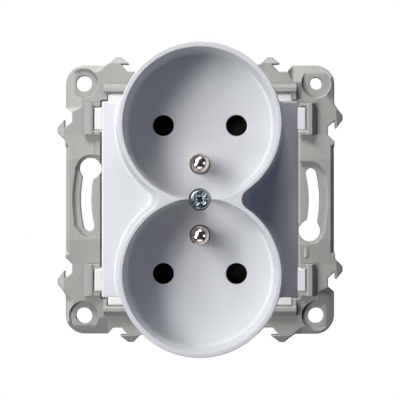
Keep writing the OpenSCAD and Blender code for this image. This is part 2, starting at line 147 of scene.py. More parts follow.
POCKET_AT, POCKET_TOP = 14.2, 2.6
LEDGE_IN, LEDGE_T = 25.1, 1.2
RIB_AT, RIB_HALF, RIB_TOP = 13.6, 1.6, 4.8

# Base. Hollows run to OPEN_END and OPEN_TOP, which lie beyond its walls and its open front.
BASE_CORNER_R = 28.8
BASE_WALL = 1.4
FLUTE_PITCH, FLUTE_DEPTH = 3.4, 0.35
FLUTE_LAND, FLUTES_FROM = 0.9, 6
FLUTE_BACK, FLUTE_FRONT = -16.8, -2.2
WELL_FLOOR, CHAMBER_FLOOR = -12.6, -16.4
OPEN_END = 30
OPEN_TOP = 9
STRAP_X, STRAP_FLOOR = 3.4, -1.2
ENTRY_END, FUNNEL_END, FUNNEL_WIDER = -16, -18, 0.7
DRIVER_R, DRIVER_FROM = 3.4, 22
TERMINAL_END_R = 2.0
MARK_AT, MARK_R, MARK_DEPTH = 19, 2.2, 0.35
SIGN_DEPTH = 0.3

# Screws, contacts and springs
TERMINAL_Z = -11.0
HEAD_R, HEAD_T = 3.0, 2.6
TERMINAL_R, TERMINAL_PITCH, TERMINAL_LEN = 1.7, 0.6, 7.65
TERMINAL_SLOT, TERMINAL_CROSS = 0.35, 1.7
SIDE_HEAD_AT, TOP_HEAD_AT = 17.9, 18.05
CENTRE_HEAD_R, CENTRE_R, CENTRE_PITCH = 2.55, 1.5, 0.5
CENTRE_UNDER, CENTRE_DOME = 9.35, 0.05
CENTRE_SLOT, SCREW_BOX = 0.32, 2.6
SLOT_TURN = math.radians(50)
SLEEVE_R, SLEEVE_HALF_WALL = 2.7, 0.25
SLEEVE_BACK, SLEEVE_TOP = -11.5, 3.2
SPRING_X, SPRING_Z, SPRING_R = 14.2, 7.2, 0.88
SPRING_LOW, SPRING_HIGH = 10.2, 20.4
SPRING_TURNS, SPRING_WIRE = 9, 0.15


# ---------------------------------------------------------------- distance fields

def smax(a, b, k):
    """Intersection of two fields with an edge rounded over k."""
    h = np.maximum(k - np.abs(a - b), 0) / k
    return np.maximum(a, b) + h * h * k / 4


def smin(a, b, k):
    """Union of two fields with a fillet of k."""
    return -smax(-a, -b, k)


def cut(a, b, k):
    """Field a with b taken out of it, its edges rounded over k."""
    return smax(a, -b, k)


def rect(x, y, cx, cy, hx, hy, r=0.0):
    """Rectangle about (cx, cy) with half sizes hx and hy and corner radius r."""
    dx, dy = np.abs(x - cx) - hx + r, np.abs(y - cy) - hy + r
    return np.hypot(np.maximum(dx, 0), np.maximum(dy, 0)) + np.minimum(np.maximum(dx, dy), 0) - r


def span(t, low, high):
    """Layer between two heights."""
    return np.maximum(low - t, t - high)


def block(x, y, z, low, high, k):
    """Box between two corners, its edges rounded over k."""
    flat = rect(x, y, (low[0] + high[0]) / 2, (low[1] + high[1]) / 2,
                (high[0] - low[0]) / 2, (high[1] - low[1]) / 2, k / 2)
    return smax(flat, span(z, low[2], high[2]), k)


def disc(x, y, cx, cy, r):
    """Disc of radius r about (cx, cy)."""
    return np.hypot(x - cx, y - cy) - r


def polygon(x, y, points):
    """Signed distance to a closed outline."""
    best, inside = None, None
    for (ax, ay), (bx, by) in zip(points, points[1:] + points[:1]):
        ex, ey, wx, wy = bx - ax, by - ay, x - ax, y - ay
        t = np.clip((wx * ex + wy * ey) / (ex * ex + ey * ey), 0, 1)
        d = (wx - t * ex) ** 2 + (wy - t * ey) ** 2
        best = d if best is None else np.minimum(best, d)
        flip = ((ay <= y) & (y < by)) | ((by <= y) & (y < ay))
        if ey:
            flip &= x < ax + wy * ex / ey
        inside = flip if inside is None else inside ^ flip
    return np.where(inside, -1, 1) * np.sqrt(best)


def ramp(t, start, end):
    """Smooth step from 0 at start to 1 at end."""
    t = np.clip((t - start) / (end - start), 0, 1)
    return t * t * (3 - 2 * t)


def fold_side(x, y):
    """Coordinates along and out from the middle of the nearest of the four sides."""
    top, left, low = y >= np.abs(x), -x > np.abs(y), -y >= np.abs(x)
    along = np.where(top, x, np.where(left, y, np.where(low, -x, -y)))
    out = np.where(top, y, np.where(left, -x, np.where(low, -y, x)))
    return along, out


# ---------------------------------------------------------------- meshes

def new_object(name, verts, faces, normals=None):
    """Mesh object from points in the row frame, smooth, with its face corners' normals if given."""
    mesh = bpy.data.meshes.new(name)
    mesh.from_pydata(verts, [], faces)
    mesh.polygons.foreach_set("use_smooth", np.ones(len(mesh.polygons), bool))
    if normals is not None:
        mesh.normals_split_custom_set(normals)
    mesh.update()
    ob = bpy.data.objects.new(name, mesh)
    bpy.context.scene.collection.objects.link(ob)
    return ob


def to_row(points):
    """Points from the maker's axes, in millimetres, to the row frame, in metres."""
    p = np.asarray(points, float)
    return np.stack([p[:, 0], -p[:, 2], p[:, 1]], 1) * MM


def gradient(field, p, h=0.02):
    """Unit gradient and value of a field at points."""
    g = np.stack([field(*(p + e).T) - field(*(p - e).T) for e in np.eye(3) * h], 1) / (2 * h)
    size = np.maximum(np.linalg.norm(g, axis=1, keepdims=True), 1e-6)
    return g / size, field(*p.T)[:, None] / size


def surface_net(field, low, high, step):
    """Points and quads of a field's surface, by naive surface nets on a regular grid."""
    # The uneven margin keeps grid points off the flat faces
    axes = [np.arange(lo - 1.37 * step, hi + 1.4 * step, step) for lo, hi in zip(low, high)]
    x, y, z = (a.reshape([-1 if i == j else 1 for j in range(3)]) for i, a in enumerate(axes))
    values = np.broadcast_to(field(x, y, z), [len(a) for a in axes]).astype(np.float32)
    inside = values < 0
    nx, ny, nz = (n - 1 for n in values.shape)
    corners = [(i, j, k) for i in (0, 1) for j in (0, 1) for k in (0, 1)]
    count = sum(inside[i:i + nx, j:j + ny, k:k + nz].astype(np.int8) for i, j, k in corners)
    cell = np.argwhere((count > 0) & (count < 8))
    total, hits = np.zeros((len(cell), 3)), np.zeros((len(cell), 1))
    for a in corners:
        for axis in range(3):
            if a[axis]:
                continue
            b = tuple(c + (i == axis) for i, c in enumerate(a))
            va, vb = (values[tuple((cell + c).T)] for c in (a, b))
            crossed = (va < 0) != (vb < 0)
            t = np.where(crossed, va / np.where(crossed, va - vb, 1), 0)
            point = np.array(a) + t[:, None] * np.eye(3)[axis]
            total += point * crossed[:, None]
            hits += crossed[:, None]
    points = np.array([a[0] for a in axes]) + (cell + total / hits) * step
    index = np.full((nx, ny, nz), -1, np.int32)
    index[tuple(cell.T)] = np.arange(len(cell))
    quads = []
    for axis in range(3):
        u, v = (axis + 1) % 3, (axis + 2) % 3
        first = np.take(inside, range(inside.shape[axis] - 1), axis)
        second = np.take(inside, range(1, inside.shape[axis]), axis)
        edge = np.argwhere(first != second)
        edge = edge[(edge[:, u] > 0) & (edge[:, v] > 0)]
        edge = edge[(edge[:, u] < index.shape[u]) & (edge[:, v] < index.shape[v])]
        du, dv = np.eye(3, dtype=int)[u], np.eye(3, dtype=int)[v]
        ring = [index[tuple((edge - d).T)] for d in (0 * du, du, du + dv, dv)]
        quad = np.stack(ring, 1)
        goes_out = inside[tuple(edge.T)]
        quad[~goes_out] = quad[~goes_out][:, ::-1]
        quads.append(quad)
    return points, np.concatenate(quads)


# Millimetres inside a face at which its normal is taken, and the cosines that tell an edge's
# vertex from a flat's and a flat face from a curved one
NORMAL_INSET = 0.35
EDGE_COS, FLAT_COS = 0.97, 0.94
# Most triangles that one moulding may have
TRIANGLES = 150000
# Angles in radians from which an edge of a CAD piece is rounded, and shaded as an edge
ROUND_FROM, CREASE_FROM = 0.6, math.radians(38)


def smooth_normals(mesh, field, step):
    """Normals for every face corner: the field's own at the vertex, or, where a vertex lies on a
    rounded edge, the field's a little way inside the face, so that flat areas stay flat up to
    their edges however few points they have."""
    points = np.empty(len(mesh.vertices) * 3)
    mesh.vertices.foreach_get("co", points)
    points = points.reshape(-1, 3)
    corner = np.empty(len(mesh.loops), np.int32)
    mesh.loops.foreach_get("vertex_index", corner)
    face_normal, area = np.empty(len(mesh.polygons) * 3), np.empty(len(mesh.polygons))
    mesh.polygons.foreach_get("normal", face_normal)
    mesh.polygons.foreach_get("area", area)
    face_normal = np.repeat(face_normal.reshape(-1, 3), 3, 0)
    at = points[corner]
    inward = np.repeat(at.reshape(-1, 3, 3).mean(1), 3, 0) - at
    reach = np.linalg.norm(inward, axis=1, keepdims=True)
    inside = gradient(field, at + inward * np.minimum(
        0.5, NORMAL_INSET / np.maximum(reach, 1e-6)))[0]
    normals = gradient(field, points)[0][corner]
    on_edge = np.sum(normals * inside, axis=1) < EDGE_COS
    normals[on_edge] = inside[on_edge]
    along = np.sum(face_normal * normals, axis=1)
    flat = (np.repeat(area, 3) > 4 * step * step) & (along > FLAT_COS)
    normals[flat] = face_normal[flat]
    return normals


def field_mesh(name, field, low, high, step, place=None):
    """Object made from a field, thinned to TRIANGLES where it is flat. place moves points and
    normals from the field's axes to the maker's."""
    step = step * 1
    points, quads = surface_net(field, low, high, step)
    for _ in range(3):
        out, value = gradient(field, points)
        points = points - out * np.clip(value, -step / 2, step / 2)
    dense = bpy.data.objects.new(name, bpy.data.meshes.new(name))
    dense.data.from_pydata(points, [], quads)
    bpy.context.scene.collection.objects.link(dense)
    thin = dense.modifiers.new("thin", "DECIMATE")
    thin.ratio = min(1.0, TRIANGLES / (2 * len(quads)))
    thin.use_collapse_triangulate = True
    done = dense.evaluated_get(bpy.context.evaluated_depsgraph_get())
    mesh = bpy.data.meshes.new_from_object(done)
    tri = bmesh.new()
    tri.from_mesh(mesh)
    bmesh.ops.triangulate(tri, faces=tri.faces)
    tri.to_mesh(mesh)
    tri.free()
    bpy.data.objects.remove(dense)
    normals = smooth_normals(mesh, field, step)
    points = np.array([v.co for v in mesh.vertices])
    faces = [tuple(f.vertices) for f in mesh.polygons]
    bpy.data.meshes.remove(mesh)
    if place:
        points, normals = place(points, 1), place(normals, 0)
    row_normals = to_row(normals) / MM
    print("MESH", name, len(points), "points", len(faces), "faces")
    return new_object(name, to_row(points), faces, row_normals)


def along_axis(origin, axis, side):
    """Places a field made about its own z axis, with z towards axis and x towards side."""
    origin, axis, side = (np.array(v, float) for v in (origin, axis, side))
    turn = np.stack([side, np.cross(axis, side), axis])
    return lambda p, w: p @ turn + w * origin


def spun(name, profile, place, segments=96):
    """Lathe work: (radius, height) pairs turned about z. Ends on the axis close it."""
    rings = [i for i, (r, _) in enumerate(profile) if r > 1e-6]
    verts, start = [], {}
    for i, (r, h) in enumerate(profile):
        start[i] = len(verts)
        for s in range(segments if i in rings else 1):
            a = 2 * math.pi * s / segments
            verts.append((r * math.cos(a), r * math.sin(a), h))
    faces = []
    for i in range(len(profile) - 1):
        for s in range(segments):
            t = (s + 1) % segments
            a, b = start[i], start[i + 1]
            if i not in rings:
                faces.append((a, b + t, b + s)[::-1])
            elif i + 1 not in rings:
                faces.append((a + s, a + t, b))
            else:
                faces.append((a + s, a + t, b + t, b + s))
    return new_object(name, to_row(place(np.array(verts), 1)), faces)


def tube(name, path, radius, sides):
    """Round wire along a path of points."""
    path = np.array(path, float)
    ahead = np.gradient(path, axis=0)
    ahead /= np.linalg.norm(ahead, axis=1, keepdims=True)
    # Any direction that the path never takes will do
    side = np.cross(ahead, (0.0, 1.0, 0.013))
    side /= np.linalg.norm(side, axis=1, keepdims=True)
    up = np.cross(ahead, side)
    turn = np.arange(sides) * 2 * math.pi / sides
    ring = np.cos(turn)[None, :, None] * side[:, None] + np.sin(turn)[None, :, None] * up[:, None]
    verts = (path[:, None] + radius * ring).reshape(-1, 3)
    faces = [(i * sides + s, i * sides + (s + 1) % sides,
              (i + 1) * sides + (s + 1) % sides, (i + 1) * sides + s)
             for i in range(len(path) - 1) for s in range(sides)]
    last = (len(path) - 1) * sides
    faces += [tuple(range(sides))[::-1], tuple(range(last, last + sides))]
    return new_object(name, to_row(verts), faces)


def refined(name, node, bevel):
    """Welded copy of a CAD node with its sharp edges rounded off."""
    bm = bmesh.new()
    bm.from_mesh(frame["nodes"][node].data)
    bmesh.ops.remove_doubles(bm, verts=bm.verts, dist=1e-6)
    bmesh.ops.dissolve_limit(bm, angle_limit=math.radians(0.5), verts=bm.verts, edges=bm.edges)
    sharp = [e for e in bm.edges if len(e.link_faces) == 2 and e.calc_face_angle() > ROUND_FROM]
    bmesh.ops.bevel(bm, geom=sharp, offset=bevel * MM, segments=2, profile=0.5,
                    affect="EDGES", clamp_overlap=True)
    mesh = bpy.data.meshes.new(name)
    bm.to_mesh(mesh)
    bm.free()
    for face in mesh.polygons:
        face.use_smooth = True
    mesh.set_sharp_from_angle(angle=CREASE_FROM)
    ob = bpy.data.objects.new(name, mesh)
    bpy.context.scene.collection.objects.link(ob)
    return ob


# ---------------------------------------------------------------- materials

def material(name, colour, rough, metal=0.0, mottle=0.03, mottle_size=6.0, grain=0.0,
             grain_size=0.25, rough_vary=0.05, stretch=(1, 1, 1), tint=None,
             tint_share=0.0, ior=1.5):
    """Procedural surface in object space: mottled colour, uneven gloss, a fine moulded or
    machined grain and, on request, a second tint in patches."""
    m = bpy.data.materials.new(name)
    m.use_nodes = True
    nodes, links = m.node_tree.nodes, m.node_tree.links
    shader = nodes["Principled BSDF"]
    shader.inputs["Metallic"].default_value = metal
    shader.inputs["IOR"].default_value = ior
    place = nodes.new("ShaderNodeTexCoord")
    scale = nodes.new("ShaderNodeMapping")
    scale.inputs["Scale"].default_value = [1000 * s for s in stretch]
    links.new(place.outputs["Object"], scale.inputs["Vector"])

    def noise(size, detail):
        n = nodes.new("ShaderNodeTexNoise")
        n.inputs["Scale"].default_value = 1 / size
        n.inputs["Detail"].default_value = detail
        links.new(scale.outputs["Vector"], n.inputs["Vector"])
        return n.outputs["Fac"]

    def remap(value, low, high, from_low=0.3, from_high=0.7):
        r = nodes.new("ShaderNodeMapRange")
        for socket, v in zip(("From Min", "From Max", "To Min", "To Max"),
                             (from_low, from_high, low, high)):
            r.inputs[socket].default_value = v
        links.new(value, r.inputs["Value"])
        return r.outputs["Result"]

    def mix(share, a, b):
        n = nodes.new("ShaderNodeMix")
        n.data_type = "RGBA"
        links.new(share, n.inputs["Factor"])
        # 6, 7 and 2 are the node's colour sockets A, B and Result
        for socket, v in ((n.inputs[6], a), (n.inputs[7], b)):
            if isinstance(v, tuple):
                socket.default_value = (*v, 1)
            else:
                links.new(v, socket)
        return n.outputs[2]

    dark = tuple(c * (1 - mottle) for c in colour)
    light = tuple(min(1.0, c * (1 + mottle)) for c in colour)
    shade = mix(remap(noise(mottle_size, 3), 0, 1), dark, light)
    if tint:
        shade = mix(remap(noise(mottle_size / 3, 5), 0, tint_share, 0.45, 0.7), shade, tint)
    links.new(shade, shader.inputs["Base Color"])
    links.new(remap(noise(mottle_size / 2, 4), rough - rough_vary, rough + rough_vary),
              shader.inputs["Roughness"])
    if grain:
        bump = nodes.new("ShaderNodeBump")
        bump.inputs["Strength"].default_value = 1
        bump.inputs["Distance"].default_value = grain * MM
        links.new(noise(grain_size, 2), bump.inputs["Height"])
        links.new(bump.outputs["Normal"], shader.inputs["Normal"])
    return m


MATERIALS = {
    "frame_plastic": material("frame_plastic", (0.455, 0.46, 0.43), 0.42, mottle=0.025,
                              grain=0.006, grain_size=0.3),
    # A whiter copy of the cover plastic for the tabs: painted light
    "tab_plastic_painted_bright": material("tab_plastic_painted_bright", (0.93, 0.935, 0.94), 0.3, mottle=0.01),
    "cover_plastic": material("cover_plastic", (0.72, 0.735, 0.76), 0.38, mottle=0.008,
                              mottle_size=9, grain=0.0015, grain_size=0.5, rough_vary=0.01),
    "base_plastic": material("base_plastic", (0.62, 0.62, 0.59), 0.5, mottle=0.03,
                             grain=0.012, grain_size=0.35),
    # Black shutter plastic, its colour darker than real black plastic so that the pin holes look
    # like deep shade: partly painted shade
    "shutter_plastic": material("shutter_plastic", (0.004, 0.004, 0.005), 0.6, mottle=0.1,
                                grain=0.008, ior=1.2),
    "brass": material("brass", (0.78, 0.55, 0.24), 0.3, metal=1, mottle=0.06, mottle_size=3,
                      grain=0.004, grain_size=0.12, stretch=(1, 1, 0.15), rough_vary=0.1,
                      tint=(0.55, 0.33, 0.13), tint_share=0.35),
    "nickel": material("nickel", (0.73, 0.65, 0.585), 0.19, metal=1, mottle=0.05,
                       mottle_size=2.5, grain=0.0012, grain_size=0.2, rough_vary=0.05),
    "zinc": material("zinc", (0.59, 0.67, 0.68), 0.2, metal=1, mottle=0.08, mottle_size=1.5,
                     grain=0.004, grain_size=0.15, rough_vary=0.08,
                     tint=(0.50, 0.50, 0.62), tint_share=0.5),
    "spring_steel": material("spring_steel", (0.50, 0.51, 0.53), 0.25, metal=1, mottle=0.05,
                             mottle_size=1, grain=0.002, grain_size=0.1),
}


def dress(ob, slot, body, *nodes):
    """Gives a piece its material and its body, and hides the CAD nodes it stands for."""
    ob.data.materials.clear()
    ob.data.materials.append(MATERIALS[slot])
    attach(ob, body)
    if nodes:
        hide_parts(*nodes)
    return ob


# ---------------------------------------------------------------- mounting frame

# One side's outer edge, closed far beyond the sector that the side fills. A hook and a notch
# stand near each end, where the next frame's notch and hook meet them.
FAR = 60
PAD_LIP, HOOK_LIP = PAD_EDGE + 0.2, PAD_EDGE + 0.25
HOOK_LOW = HOOK_EDGE - 1.7
SIDE_OUTLINE = [
    (-FAR, -FAR), (-FAR, PAD_EDGE), (-25.0, PAD_EDGE), (-23.4, 36.4), (-22.2, HOOK_EDGE),
    (-20.9, HOOK_EDGE), (-18.7, HOOK_LOW), (-18.7, HOOK_LIP), (-20.7, PAD_LIP), (-19.1, NOTCH),
    (-16.9, NOTCH), (-15.2, PAD_EDGE), (-13.8, PAD_EDGE), (-13.6, EDGE), (13.6, EDGE),
    (13.8, PAD_EDGE), (15.6, PAD_LIP), (17.5, HOOK_EDGE), (18.9, HOOK_EDGE), (20.9, HOOK_LOW),
    (20.9, HOOK_LIP), (18.9, PAD_LIP), (20.6, NOTCH), (22.8, NOTCH), (24.3, PAD_EDGE),
    (FAR, PAD_EDGE), (FAR, -FAR)]


def frame_top(u, v):
    """Height of the frame's face: pads, hooks and edges slope down, and the middle of each side
    stands up a little."""
    along = (np.abs(u) - MIDDLE_FLAT) / (MIDDLE_END - MIDDLE_FLAT)
    level = FRAME_T - MIDDLE_RISE * np.clip(along, 0, 1)
    left_from = SLOPE_MID + (SLOPE_FAR - SLOPE_MID) * ramp(u, -27.2, -23.2)
    right_from = SLOPE_FAR - (SLOPE_FAR - SLOPE_NEAR) * ramp(u, PAD_FROM, PAD_FULL)
    drop = np.maximum(v - np.where(u < 0, left_from, right_from), 0) * PAD_SLOPE
    corner = np.maximum(-u - SLOPE_NEAR, 0) * PAD_SLOPE * ramp(v, PAD_FROM, PAD_FULL)
    narrow = np.maximum(u - SLOPE_MID, 0) * PAD_SLOPE
    band = np.maximum(v - EDGE_BAND, 0) * EDGE_SLOPE * ramp(-np.abs(u), -14.6, -13.6)
    fall = np.maximum(np.maximum(drop, corner), np.maximum(narrow, band))
    return level - fall


def slot_field(u, v):
    """The curved slot with its round end, about the middle of one side."""
    angle, r = np.arctan2(u, v), np.hypot(u, v)
    arc = np.maximum(np.abs(r - SLOT_R) - SLOT_HALF, span(angle, -SLOT_ANGLE, KEY_ANGLE) * SLOT_R)
    end = disc(u, v, -SLOT_R * math.sin(SLOT_ANGLE), SLOT_R * math.cos(SLOT_ANGLE), SLOT_HALF)
    key = disc(u, v, SLOT_R * math.sin(KEY_ANGLE), SLOT_R * math.cos(KEY_ANGLE), KEY_R)
    return smin(np.minimum(arc, end), key, 0.4)


def recess_field(u, v):
    """Outline of the sunk area round a slot, open towards the cover."""
    kx, ky = SLOT_R * math.sin(KEY_ANGLE), SLOT_R * math.cos(KEY_ANGLE)
    ex, ey = -SLOT_R * math.sin(SLOT_ANGLE), SLOT_R * math.cos(SLOT_ANGLE)
    kr, er = KEY_R + 0.6, SLOT_HALF + 1.6
    main = np.maximum(np.hypot(u, v) - RECESS_R, rect(u, v, (kx + ex) / 2, 29, (kx - ex) / 2, 6))
    key = np.minimum(disc(u, v, kx, ky, kr), rect(u, v, kx, ky - 4, kr, 4))
    end = np.minimum(disc(u, v, ex, ey, er), rect(u, v, ex, ey - 4, er, 4))
    return smin(smin(main, key, 1.2), end, 1.6)


def corner_arc(ax, ay):
    """Rounds the four outer corners; far inside everywhere else."""
    from_x, from_y = ax - PAD_EDGE + CORNER_R, ay - PAD_EDGE + CORNER_R
    return np.where((from_x > 0) & (from_y > 0), np.hypot(from_x, from_y) - CORNER_R, -CORNER_R)


def frame_field(x, y, z):
    """Frame with its opening, slots, corner holes and clip loops."""
    u, v = fold_side(x, y)
    along, ax, ay = np.abs(u), np.abs(x), np.abs(y)
    body = np.maximum(polygon(u, v, SIDE_OUTLINE), corner_arc(ax, ay))
    body = smax(body, (z - frame_top(u, v)) * 0.92, 0.35)
    body = smax(body, -z, 0.25)
    opening = np.maximum(rect(x, y, 0, 0, OPEN, OPEN, 0.5), LEDGE_T - z)
    body = cut(body, np.minimum(opening, rect(x, y, 0, 0, LEDGE_IN, LEDGE_IN)), 0.15)
    body = cut(body, np.maximum(recess_field(u, v), RECESS_Z - z), 0.15)
    body = cut(body, slot_field(u, v), 0.15)
    body = cut(body, np.maximum(disc(ax, ay, CORNER, CORNER, SEAT_R), SEAT_Z - z), 0.2)
    # Windows for the cover's tabs, clip loops over them, and pockets in the back beside them
    half, mid = CLIP_LEN / 2, (CLIP_IN + CLIP_OUT) / 2
    window = np.maximum(rect(along, v, CLIP_AT, CLIP_OUT - 3.6, half - 1, 3.2),
                        span(z, -1, CLIP_UNDER))
    over = np.maximum(rect(along, v, CLIP_AT, OPEN, half - 1, CLIP_IN - OPEN), CLIP_UNDER - 0.2 - z)
    body = cut(body, np.minimum(window, over), 0.15)
    pocket = rect(along, v, POCKET_AT, SLOT_R, 1.3, 2.2, 0.4)
    body = cut(body, np.maximum(pocket, z - POCKET_TOP), 0.2)
    # The loop's two slopes, each by the normal of its face
    outer_slope = (v - CLIP_OUT) * 0.76 + (z - 5) * 0.65
    inner_slope = (CLIP_IN - v) * 0.91 + (z - 5.4) * 0.41
    gable = np.maximum(np.maximum(outer_slope, inner_slope), z - CLIP_TOP)
    bar = smax(rect(along, v, CLIP_AT, mid, half, (CLIP_OUT - CLIP_IN) / 2),
               np.maximum(gable, CLIP_UNDER - z), 0.2)
    leg = rect(np.abs(along - CLIP_AT), v, half - CLIP_LEG, (OPEN + mid) / 2, CLIP_LEG,
               (mid - OPEN) / 2)
    leg = smax(leg, span(z, CLIP_UNDER, FRAME_T + 0.6), 0.2)
    body = smin(body, np.minimum(bar, leg), 0.2)
    # Small guide rib beside each slot
    rib = smax(rect(u, v, RIB_AT, CLIP_IN, RIB_HALF, 0.45), span(z, 1.0, RIB_TOP), 0.4)
    body = smin(body, rib, 0.3)
    hole_r = np.where((x > 0) & (y > 0), SMALL_HOLE_R, CORNER_HOLE_R)
    return cut(body, disc(ax, ay, CORNER, CORNER, hole_r), 0.2)


# ---------------------------------------------------------------- cover

def bowls_outline(x, y, r):
    """Two circles of radius r with a concave blend at the waist."""
    ax, ay = np.abs(x), np.abs(y)
    blend_x = np.sqrt((r + WAIST_R) ** 2 - BOWL_Y ** 2)
    in_waist = ay * blend_x < BOWL_Y * (blend_x - ax)
    return np.where(in_waist, WAIST_R - np.hypot(ax - blend_x, ay), np.hypot(ax, ay - BOWL_Y) - r)


def cavity_outline(x, y):
    """The hollow behind the two floors, joined at the waist."""
    pair = np.minimum(disc(x, np.abs(y), 0, BOWL_Y, CAVITY_R),
                      rect(x, y, 0, 0, CAVITY_WAIST, CAVITY_WAIST))
    return np.maximum(pair, np.abs(y) - CAVITY_END)


def tab_field(x, y, z):
    """The eight tabs at the plate's edge, which dip under the frame's clip loops."""
    u, v = fold_side(x, y)
    side = rect(np.abs(u), v, CLIP_AT, 0, CLIP_LEN / 2 - TAB_PLAY, TAB_OUT)
    tongue = smax(side, span(z, TAB_Z, TAB_TOP), 0.25)
    step = smax(np.maximum(side, v - TAB_STEP), span(z, TAB_Z, PLATE_Z - 0.15), 0.4)
    return smax(smin(tongue, step, 0.2), PLATE - 0.1 - v, 0.1)


def cover_field(x, y, z):
    """Plate, rims and bowls in one moulding, with their floors."""
    ax, ay = np.abs(x), np.abs(y)
    plate = smax(rect(x, y, 0, 0, PLATE, PLATE, 0.5), span(z, PLATE_BACK, PLATE_Z), 0.7)
    r = RIM_R + (RIM_Z - np.minimum(z, RIM_Z)) * DRAFT
    walls = bowls_outline(x, y, r) * math.cos(math.atan(DRAFT))
    walls = smax(walls, span(z, SKIRT_Z, RIM_Z), 0.25)
    foot = np.maximum(np.maximum(bowls_outline(x, y, r), span(z, PLATE_BACK, SKIRT_Z + 1)),
                      rect(x, y, 0, 0, PLATE - 0.2, PLATE - 0.2))
    body = smin(plate, np.minimum(walls, foot), 0.9)
    # Bowls
    bowl = disc(x, ay, 0, BOWL_IN_Y, BOWL_R + (z - RIM_Z) * BOWL_DRAFT)
    bowl = smax(bowl, FLOOR_Z - z, 0.9)
    body = cut(body, bowl, 0.25)
    # Hollow behind the floor, with the boss of the centre screw, and one beyond the plate
    behind = np.maximum(cavity_outline(x, y), z - FLOOR_BACK)
    behind = cut(behind, np.maximum(np.hypot(x, y) - BOSS_R, BOSS_Z - z), 0.2)
    beyond = np.maximum(disc(x, ay, 0, BOWL_Y, RIM_HOLLOW_R), RIM_HOLLOW_FROM - ay)
    beyond = np.maximum(beyond, z - FLOOR_BACK)
    body = cut(body, np.minimum(behind, beyond), 0.25)
    # Openings in the floor
    pins = disc(ax, ay, PIN_X, BOWL_Y, PIN_HOLE_R)
    mouth = np.maximum((pins - (z - FLOOR_Z + 0.15)) * 0.72, span(z, FLOOR_Z - 0.8, FLOOR_Z + 0.6))
    pins = np.minimum(pins, mouth)
    earth = disc(x, ay, 0, EARTH_Y, EARTH_R + EARTH_PLAY)
    r = np.hypot(x, y)
    screw = np.minimum(r - SCREW_HOLE_R, np.maximum(r - SCREW_SEAT_R, SCREW_SEAT_Z - z))
    return cut(body, np.minimum(np.minimum(pins, earth), screw), 0.12)


# ---------------------------------------------------------------- base

# The base's hollows, corner to corner: contact wells, side chambers, and the earth's two. Those
# that start right of the middle are mirrored to the left.
HOLLOWS = [((5.9, -OPEN_END, WELL_FLOOR), (14.75, OPEN_END, OPEN_TOP)),
           ((PIN_X, -5.6, CHAMBER_FLOOR), (OPEN_END, 5.6, OPEN_TOP)),
           ((16.4, 7.2, CHAMBER_FLOOR), (OPEN_END, 18, OPEN_TOP)),
           ((16.4, -18, CHAMBER_FLOOR), (OPEN_END, -7.2, OPEN_TOP)),
           ((-4.6, 11.0, CHAMBER_FLOOR), (4.6, OPEN_END, OPEN_TOP)),
           ((-4.6, -OPEN_END, CHAMBER_FLOOR), (4.6, -15, OPEN_TOP))]


def base_outline(x, y, inset):
    """The base's outside, moved in by inset."""
    half = BASE_HALF - inset
    return smax(rect(x, y, 0, 0, half, half, 0.8), np.hypot(x, y) - BASE_CORNER_R + inset, 1.2)


def earth_sign(x, y):
    """Outline of the protective earth sign: a stem over three bars."""
    sign = rect(x, y, 0, 20.9, 0.2, 0.7)
    for level, half in ((20.1, 1.5), (19.4, 1.0), (18.7, 0.5)):
        sign = np.minimum(sign, rect(x, y, 0, level, half, 0.18))
    return sign


def base_field(x, y, z):
    """Base with its wells, wire entries and screwdriver holes."""
    ax, ay = np.abs(x), np.abs(y)
    body = smax(base_outline(x, y, 0), span(z, BASE_BACK, BASE_TOP), 0.8)
    # Shallow flutes round the outside
    flutes = np.maximum(FLUTE_LAND - np.abs(ax % FLUTE_PITCH - FLUTE_PITCH / 2), FLUTES_FROM - ax)
    skin = np.maximum(-base_outline(x, y, FLUTE_DEPTH), span(z, FLUTE_BACK, FLUTE_FRONT))
    body = cut(body, np.maximum(skin, flutes), 0.2)
    inside = base_outline(x, y, BASE_WALL)
    wells = None
    for low, high in HOLLOWS:
        well = smax(block(x if low[0] < 0 else ax, y, z, low, high, 0.4), inside, 0.4)
        wells = well if wells is None else np.minimum(wells, well)
    body = cut(body, wells, 0.25)
    # Seat of the earth strap, with room for the pins' heads, the nut and the screw's end
    strap = block(x, y, z, (-STRAP_X, -12.6, STRAP_FLOOR), (STRAP_X, 13.8, OPEN_TOP), 0.2)
    strap = np.minimum(strap, np.maximum(disc(x, ay, 0, EARTH_Y, 2.5), -2.1 - z))
    strap = np.minimum(strap, np.maximum(rect(x, y, 0, 0, 2.65, 2.65), -5 - z))
    strap = np.minimum(strap, np.maximum(np.hypot(x, y) - 2, -7.5 - z))
    body = cut(body, strap, 0.15)
    # Wire entries with funnels, and screwdriver holes
    for (cx, cy), fold in ((WIRE_AT[:2], ay), (EARTH_WIRE_AT[:2], y)):
        entry = disc(ax, fold, cx, cy, WIRE_R)
        funnel = (entry - (BASE_BACK + FUNNEL_WIDER - z)) * 0.72
        way = np.minimum(np.maximum(entry, z - ENTRY_END), np.maximum(funnel, z - FUNNEL_END))
        body = cut(body, way, 0.15)
    for t, s in ((ax, y), (y, x)):
        way = np.maximum(np.hypot(s, z - TERMINAL_Z) - DRIVER_R, DRIVER_FROM - t)
        tail = np.maximum(np.hypot(s, z - TERMINAL_Z) - TERMINAL_END_R, span(t, 7.4, 14))
        body = cut(body, np.minimum(way, tail), 0.3)
    # Sunk earth sign and round marks on the back
    body = cut(body, np.maximum(earth_sign(x, y), z - BASE_BACK - SIGN_DEPTH), 0.1)
    marks = disc(ax, ay, MARK_AT, MARK_AT, MARK_R)
    return cut(body, np.maximum(marks, z - BASE_BACK - MARK_DEPTH), 0.2)


# ---------------------------------------------------------------- screws, pins and contacts

def thread_radius(x, y, z, r, pitch, depth, low, high):
    """Radius of a right-hand thread at each point, fading out at both ends."""
    turn = (z / pitch - np.arctan2(y, x) / (2 * math.pi)) % 1
    groove = 1 - np.minimum(1, np.abs(turn - 0.5) * 4)
    live = ramp(z, low, low + pitch) * (1 - ramp(z, high - pitch, high))
    return r - depth * groove * live


